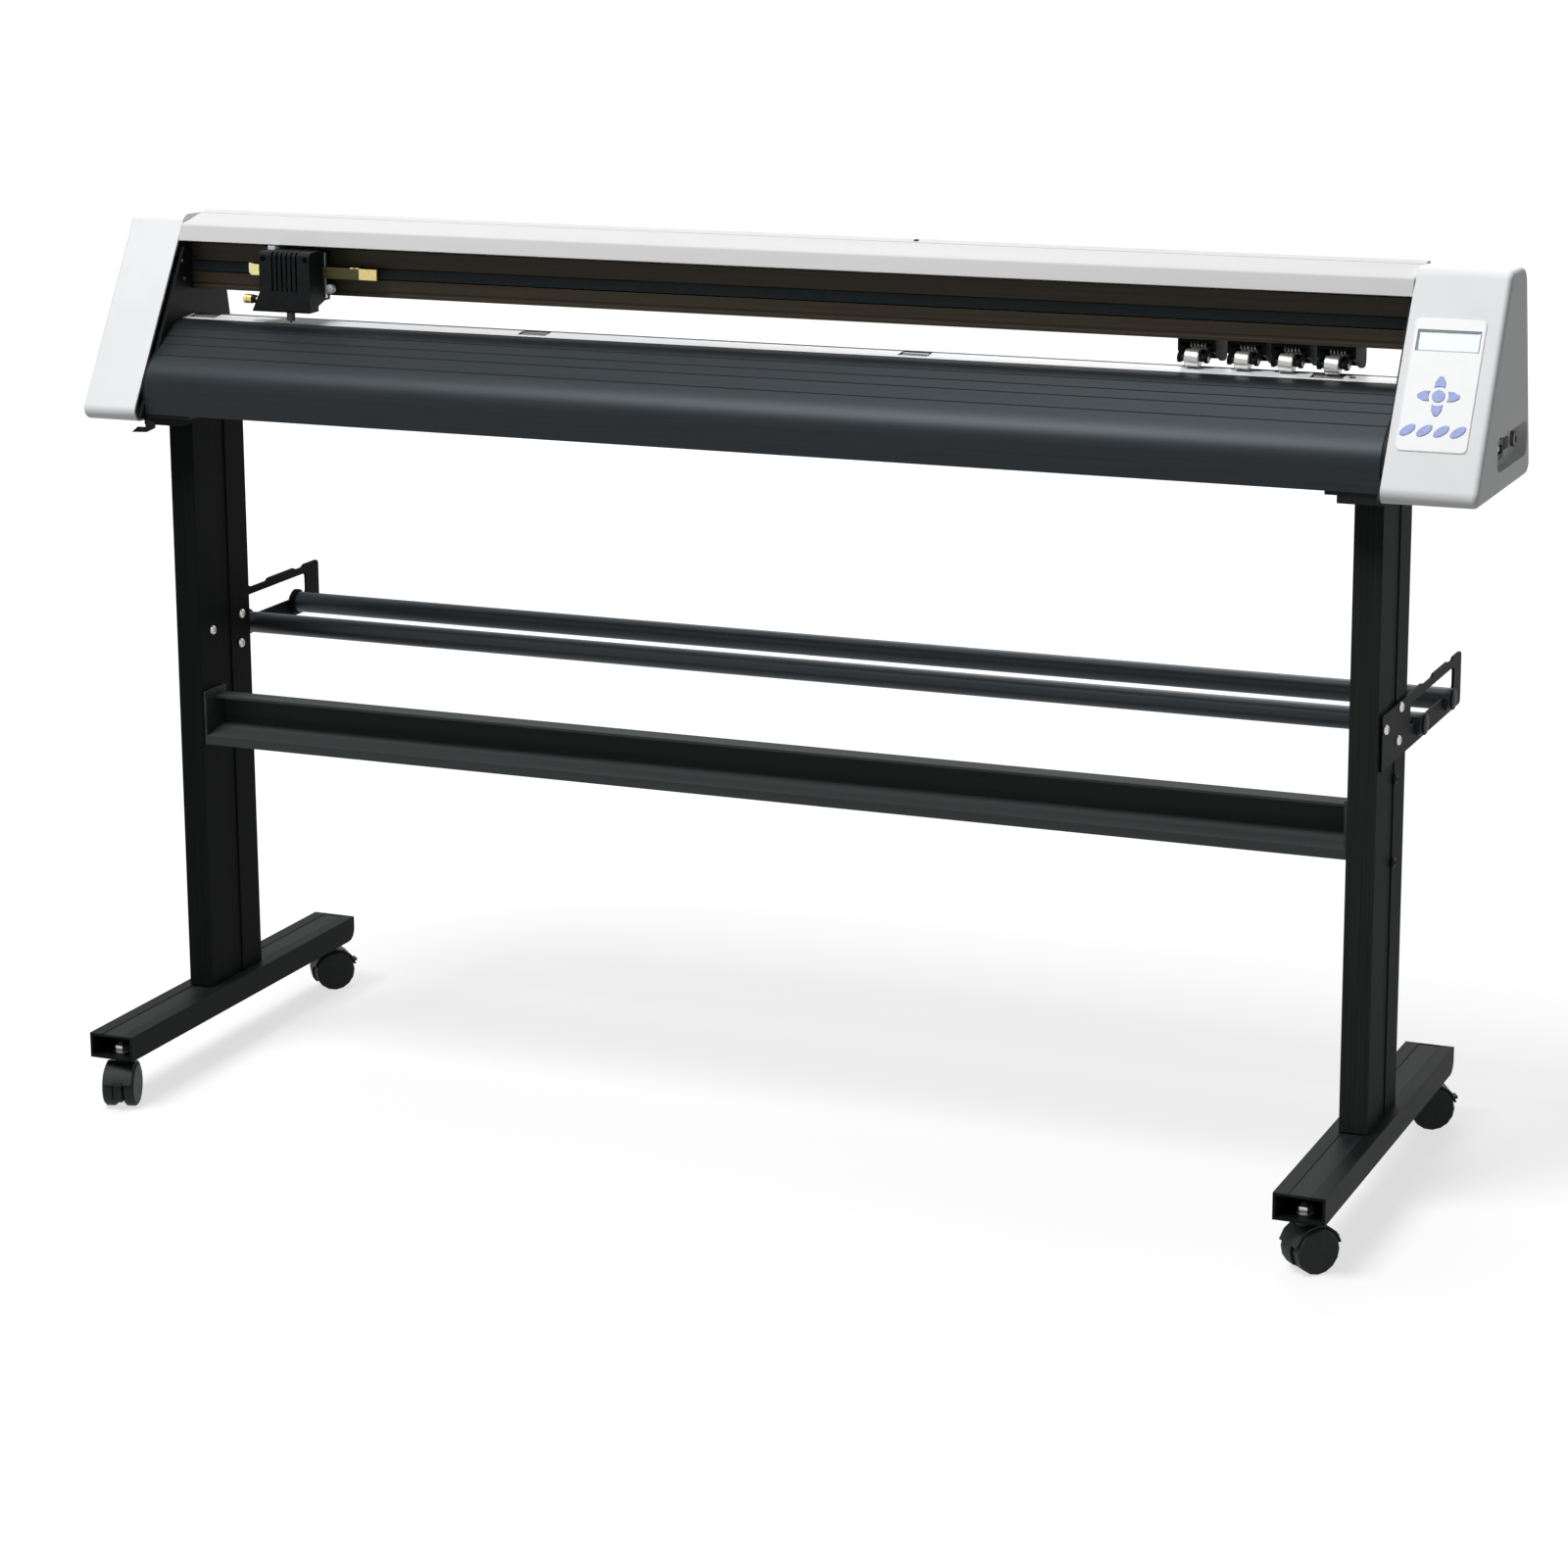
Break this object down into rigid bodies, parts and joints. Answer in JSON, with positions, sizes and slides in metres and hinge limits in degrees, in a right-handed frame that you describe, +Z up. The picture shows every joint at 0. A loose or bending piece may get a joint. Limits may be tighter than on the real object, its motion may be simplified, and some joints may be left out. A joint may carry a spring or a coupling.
{
  "type": "vinyl cutter",
  "caption": "Floor-standing vinyl cutter: long head with white end caps, sliding blade carriage, pinch rollers and key panel on a black caster stand with roll bars.",
  "frame": {"origin": "on the floor, under the middle of the cutting head", "axes": "+X along the head towards the control panel, +Y to the back, +Z up"},
  "size_m": [1.64, 0.57, 1.012],
  "materials": {
    "white_plastic": "satin white moulded plastic",
    "white_sheet": "plain white keypad sheet",
    "white_cover": "white painted aluminium",
    "blue_keys": "periwinkle blue rubber-like keys",
    "screen": "pale cyan display window",
    "bronze_beam": "dark bronze anodised extrusion",
    "black_platen": "black anodised extrusion",
    "black_profile": "black anodised extrusion",
    "black_paint": "satin black paint",
    "black_plastic": "black moulded plastic",
    "bar_tube": "dark anodised tube",
    "steel": "ground steel",
    "motor": "black motor case",
    "brass": "turned brass",
    "holder": "bronze coloured holder",
    "belt": "toothed belt rubber",
    "board": "green circuit board with black parts"
  },
  "bodies": {
    "frame": {"left_foot": "black_profile", "right_foot": "black_profile", "left_upright": "black_profile", "right_upright": "black_profile", "cross_beam": "black_paint", "left_roll_bracket": "black_paint", "right_roll_bracket": "black_paint", "left_end_cap": "white_plastic", "right_end_cap": "white_plastic", "top_cover": "white_cover", "rail_beam": "bronze_beam", "platen": "black_platen", "left_side_plate": "black_paint", "right_side_plate": "black_paint", "timing_belt": "belt", "carriage_motor": "motor", "roller_motor": "motor", "control_board": "board", "display_screen": "screen", "keypad_overlay": "white_sheet"},
    "carriage": {"carriage_plate": "black_plastic", "carriage_cover": "black_plastic"},
    "blade_holder": {"blade_holder": "holder"},
    "clamp_screw": {"clamp_screw": "brass"},
    "drive_pulley": {"drive_pulley": "steel"},
    "idler_pulley": {"idler_pulley": "black_plastic"},
    "drive_roller": {"drive_roller": "steel"},
    "roller_pinion": {"roller_pinion": "brass"},
    "pinch_bracket_4": {"pinch_bracket_4": "black_plastic"},
    "pinch_arm_4": {"pinch_arm_4": "steel"},
    "pinch_roller_4": {"pinch_roller_4": "steel"},
    "pinch_bracket_3": {"pinch_bracket_3": "black_plastic"},
    "pinch_arm_3": {"pinch_arm_3": "steel"},
    "pinch_roller_3": {"pinch_roller_3": "steel"},
    "pinch_bracket_2": {"pinch_bracket_2": "black_plastic"},
    "pinch_arm_2": {"pinch_arm_2": "steel"},
    "pinch_roller_2": {"pinch_roller_2": "steel"},
    "pinch_bracket_1": {"pinch_bracket_1": "black_plastic"},
    "pinch_arm_1": {"pinch_arm_1": "steel"},
    "pinch_roller_1": {"pinch_roller_1": "steel"},
    "front_media_bar": {"front_media_bar": "bar_tube"},
    "rear_media_bar": {"rear_media_bar": "bar_tube"},
    "left_front_caster_fork": {"left_front_caster_fork": "black_plastic"},
    "left_front_caster_wheels": {"left_front_caster_wheels": "black_plastic"},
    "left_rear_caster_fork": {"left_rear_caster_fork": "black_plastic"},
    "left_rear_caster_wheels": {"left_rear_caster_wheels": "black_plastic"},
    "right_front_caster_fork": {"right_front_caster_fork": "black_plastic"},
    "right_front_caster_wheels": {"right_front_caster_wheels": "black_plastic"},
    "right_rear_caster_fork": {"right_rear_caster_fork": "black_plastic"},
    "right_rear_caster_wheels": {"right_rear_caster_wheels": "black_plastic"},
    "up_key": {"up_key": "blue_keys"},
    "down_key": {"down_key": "blue_keys"},
    "left_key": {"left_key": "blue_keys"},
    "right_key": {"right_key": "blue_keys"},
    "centre_key": {"centre_key": "blue_keys"},
    "function_key_1": {"function_key_1": "blue_keys"},
    "function_key_2": {"function_key_2": "blue_keys"},
    "function_key_3": {"function_key_3": "blue_keys"},
    "function_key_4": {"function_key_4": "blue_keys"},
    "power_switch": {"power_switch": "black_plastic"}
  },
  "joints": [
    {"name": "carriage_slide", "type": "slide", "parent": "frame", "child": "carriage", "axis": [1, 0, 0], "range_m": [-0.0827, 1.2022]},
    {"name": "blade_slide", "type": "slide", "parent": "carriage", "child": "blade_holder", "axis": [0, 0, -1], "range_m": [0, 0.002], "stiffness_N_per_m": 400, "springref_m": -0.0012},
    {"name": "clamp_screw_turn", "type": "hinge", "parent": "carriage", "child": "clamp_screw", "pos_m": [-0.644, -0.0217, 0.9205], "axis": [1, 0, 0], "range_deg": [0, 360]},
    {"name": "drive_pulley_spin", "type": "hinge", "parent": "frame", "child": "drive_pulley", "pos_m": [0.7457, 0.0277, 0.951], "axis": [0, 0, 1], "range_deg": [-452, 6565]},
    {"name": "idler_pulley_spin", "type": "hinge", "parent": "frame", "child": "idler_pulley", "pos_m": [-0.7707, 0.0277, 0.951], "axis": [0, 0, 1], "range_deg": [-452, 6565]},
    {"name": "drive_roller_spin", "type": "hinge", "parent": "frame", "child": "drive_roller", "pos_m": [0, 0.005, 0.88359], "axis": [1, 0, 0], "continuous": true},
    {"name": "roller_pinion_spin", "type": "hinge", "parent": "frame", "child": "roller_pinion", "pos_m": [0.7307, 0.005, 0.85489], "axis": [1, 0, 0], "continuous": true},
    {"name": "pinch_slide_4", "type": "slide", "parent": "frame", "child": "pinch_bracket_4", "axis": [1, 0, 0], "range_m": [-0.3, 0.055]},
    {"name": "pinch_lift_4", "type": "hinge", "parent": "pinch_bracket_4", "child": "pinch_arm_4", "pos_m": [0.6343, 0.0255, 0.9155], "axis": [-1, 0, 0], "range_deg": [0, 7], "stiffness_Nm_per_rad": 0.5, "springref_deg": -5.73},
    {"name": "pinch_roller_spin_4", "type": "hinge", "parent": "pinch_arm_4", "child": "pinch_roller_4", "pos_m": [0.6343, 0.005, 0.90489], "axis": [1, 0, 0], "continuous": true},
    {"name": "pinch_slide_3", "type": "slide", "parent": "pinch_bracket_4", "child": "pinch_bracket_3", "axis": [1, 0, 0], "range_m": [-0.3, 0]},
    {"name": "pinch_lift_3", "type": "hinge", "parent": "pinch_bracket_3", "child": "pinch_arm_3", "pos_m": [0.5849, 0.0255, 0.9155], "axis": [-1, 0, 0], "range_deg": [0, 7], "stiffness_Nm_per_rad": 0.5, "springref_deg": -5.73},
    {"name": "pinch_roller_spin_3", "type": "hinge", "parent": "pinch_arm_3", "child": "pinch_roller_3", "pos_m": [0.5849, 0.005, 0.90489], "axis": [1, 0, 0], "continuous": true},
    {"name": "pinch_slide_2", "type": "slide", "parent": "pinch_bracket_3", "child": "pinch_bracket_2", "axis": [1, 0, 0], "range_m": [-0.3, 0]},
    {"name": "pinch_lift_2", "type": "hinge", "parent": "pinch_bracket_2", "child": "pinch_arm_2", "pos_m": [0.5371, 0.0255, 0.9155], "axis": [-1, 0, 0], "range_deg": [0, 7], "stiffness_Nm_per_rad": 0.5, "springref_deg": -5.73},
    {"name": "pinch_roller_spin_2", "type": "hinge", "parent": "pinch_arm_2", "child": "pinch_roller_2", "pos_m": [0.5371, 0.005, 0.90489], "axis": [1, 0, 0], "continuous": true},
    {"name": "pinch_slide_1", "type": "slide", "parent": "pinch_bracket_2", "child": "pinch_bracket_1", "axis": [1, 0, 0], "range_m": [-0.3, 0]},
    {"name": "pinch_lift_1", "type": "hinge", "parent": "pinch_bracket_1", "child": "pinch_arm_1", "pos_m": [0.4824, 0.0255, 0.9155], "axis": [-1, 0, 0], "range_deg": [0, 7], "stiffness_Nm_per_rad": 0.5, "springref_deg": -5.73},
    {"name": "pinch_roller_spin_1", "type": "hinge", "parent": "pinch_arm_1", "child": "pinch_roller_1", "pos_m": [0.4824, 0.005, 0.90489], "axis": [1, 0, 0], "continuous": true},
    {"name": "front_bar_spin", "type": "hinge", "parent": "frame", "child": "front_media_bar", "pos_m": [-0.0115, 0.0975, 0.506], "axis": [1, 0, 0], "continuous": true},
    {"name": "rear_bar_spin", "type": "hinge", "parent": "frame", "child": "rear_media_bar", "pos_m": [-0.0115, 0.2225, 0.506], "axis": [1, 0, 0], "continuous": true},
    {"name": "left_front_caster_swivel", "type": "hinge", "parent": "frame", "child": "left_front_caster_fork", "pos_m": [-0.7233, -0.2465, 0.0603], "axis": [0, 0, 1], "continuous": true},
    {"name": "left_front_caster_roll", "type": "hinge", "parent": "left_front_caster_fork", "child": "left_front_caster_wheels", "pos_m": [-0.72114, -0.25316, 0.025], "axis": [-0.9511, -0.309, 0], "continuous": true},
    {"name": "left_rear_caster_swivel", "type": "hinge", "parent": "frame", "child": "left_rear_caster_fork", "pos_m": [-0.7233, 0.2465, 0.0603], "axis": [0, 0, 1], "continuous": true},
    {"name": "left_rear_caster_roll", "type": "hinge", "parent": "left_rear_caster_fork", "child": "left_rear_caster_wheels", "pos_m": [-0.71827, 0.25136, 0.025], "axis": [0.6947, -0.7193, 0], "continuous": true},
    {"name": "right_front_caster_swivel", "type": "hinge", "parent": "frame", "child": "right_front_caster_fork", "pos_m": [0.6943, -0.2465, 0.0603], "axis": [0, 0, 1], "continuous": true},
    {"name": "right_front_caster_roll", "type": "hinge", "parent": "right_front_caster_fork", "child": "right_front_caster_wheels", "pos_m": [0.69898, -0.2413, 0.025], "axis": [0.7431, -0.6691, 0], "continuous": true},
    {"name": "right_rear_caster_swivel", "type": "hinge", "parent": "frame", "child": "right_rear_caster_fork", "pos_m": [0.6943, 0.2465, 0.0603], "axis": [0, 0, 1], "continuous": true},
    {"name": "right_rear_caster_roll", "type": "hinge", "parent": "right_rear_caster_fork", "child": "right_rear_caster_wheels", "pos_m": [0.70042, 0.24989, 0.025], "axis": [0.4848, -0.8746, 0], "continuous": true},
    {"name": "up_key_press", "type": "slide", "parent": "frame", "child": "up_key", "axis": [0, 0.8545, -0.5194], "range_m": [0, 0.0005], "stiffness_N_per_m": 2000},
    {"name": "down_key_press", "type": "slide", "parent": "frame", "child": "down_key", "axis": [0, 0.8545, -0.5194], "range_m": [0, 0.0005], "stiffness_N_per_m": 2000},
    {"name": "left_key_press", "type": "slide", "parent": "frame", "child": "left_key", "axis": [0, 0.8545, -0.5194], "range_m": [0, 0.0005], "stiffness_N_per_m": 2000},
    {"name": "right_key_press", "type": "slide", "parent": "frame", "child": "right_key", "axis": [0, 0.8545, -0.5194], "range_m": [0, 0.0005], "stiffness_N_per_m": 2000},
    {"name": "centre_key_press", "type": "slide", "parent": "frame", "child": "centre_key", "axis": [0, 0.8545, -0.5194], "range_m": [0, 0.0005], "stiffness_N_per_m": 2000},
    {"name": "function_key_1_press", "type": "slide", "parent": "frame", "child": "function_key_1", "axis": [0, 0.8545, -0.5194], "range_m": [0, 0.0005], "stiffness_N_per_m": 2000},
    {"name": "function_key_2_press", "type": "slide", "parent": "frame", "child": "function_key_2", "axis": [0, 0.8545, -0.5194], "range_m": [0, 0.0005], "stiffness_N_per_m": 2000},
    {"name": "function_key_3_press", "type": "slide", "parent": "frame", "child": "function_key_3", "axis": [0, 0.8545, -0.5194], "range_m": [0, 0.0005], "stiffness_N_per_m": 2000},
    {"name": "function_key_4_press", "type": "slide", "parent": "frame", "child": "function_key_4", "axis": [0, 0.8545, -0.5194], "range_m": [0, 0.0005], "stiffness_N_per_m": 2000},
    {"name": "power_switch_rock", "type": "hinge", "parent": "frame", "child": "power_switch", "pos_m": [0.80675, 0.045, 0.8265], "axis": [0, 0, 1], "range_deg": [-8, 8]}
  ],
  "couplings": [
    {"joint": "drive_pulley_spin", "follows": "carriage_slide", "rad_per_m": 95.238},
    {"joint": "idler_pulley_spin", "follows": "carriage_slide", "rad_per_m": 95.238},
    {"joint": "roller_pinion_spin", "follows": "drive_roller_spin", "ratio": -1.7143},
    {"joint": "pinch_roller_spin_4", "follows": "drive_roller_spin", "ratio": -1.1},
    {"joint": "pinch_roller_spin_3", "follows": "drive_roller_spin", "ratio": -1.1},
    {"joint": "pinch_roller_spin_2", "follows": "drive_roller_spin", "ratio": -1.1},
    {"joint": "pinch_roller_spin_1", "follows": "drive_roller_spin", "ratio": -1.1}
  ]
}
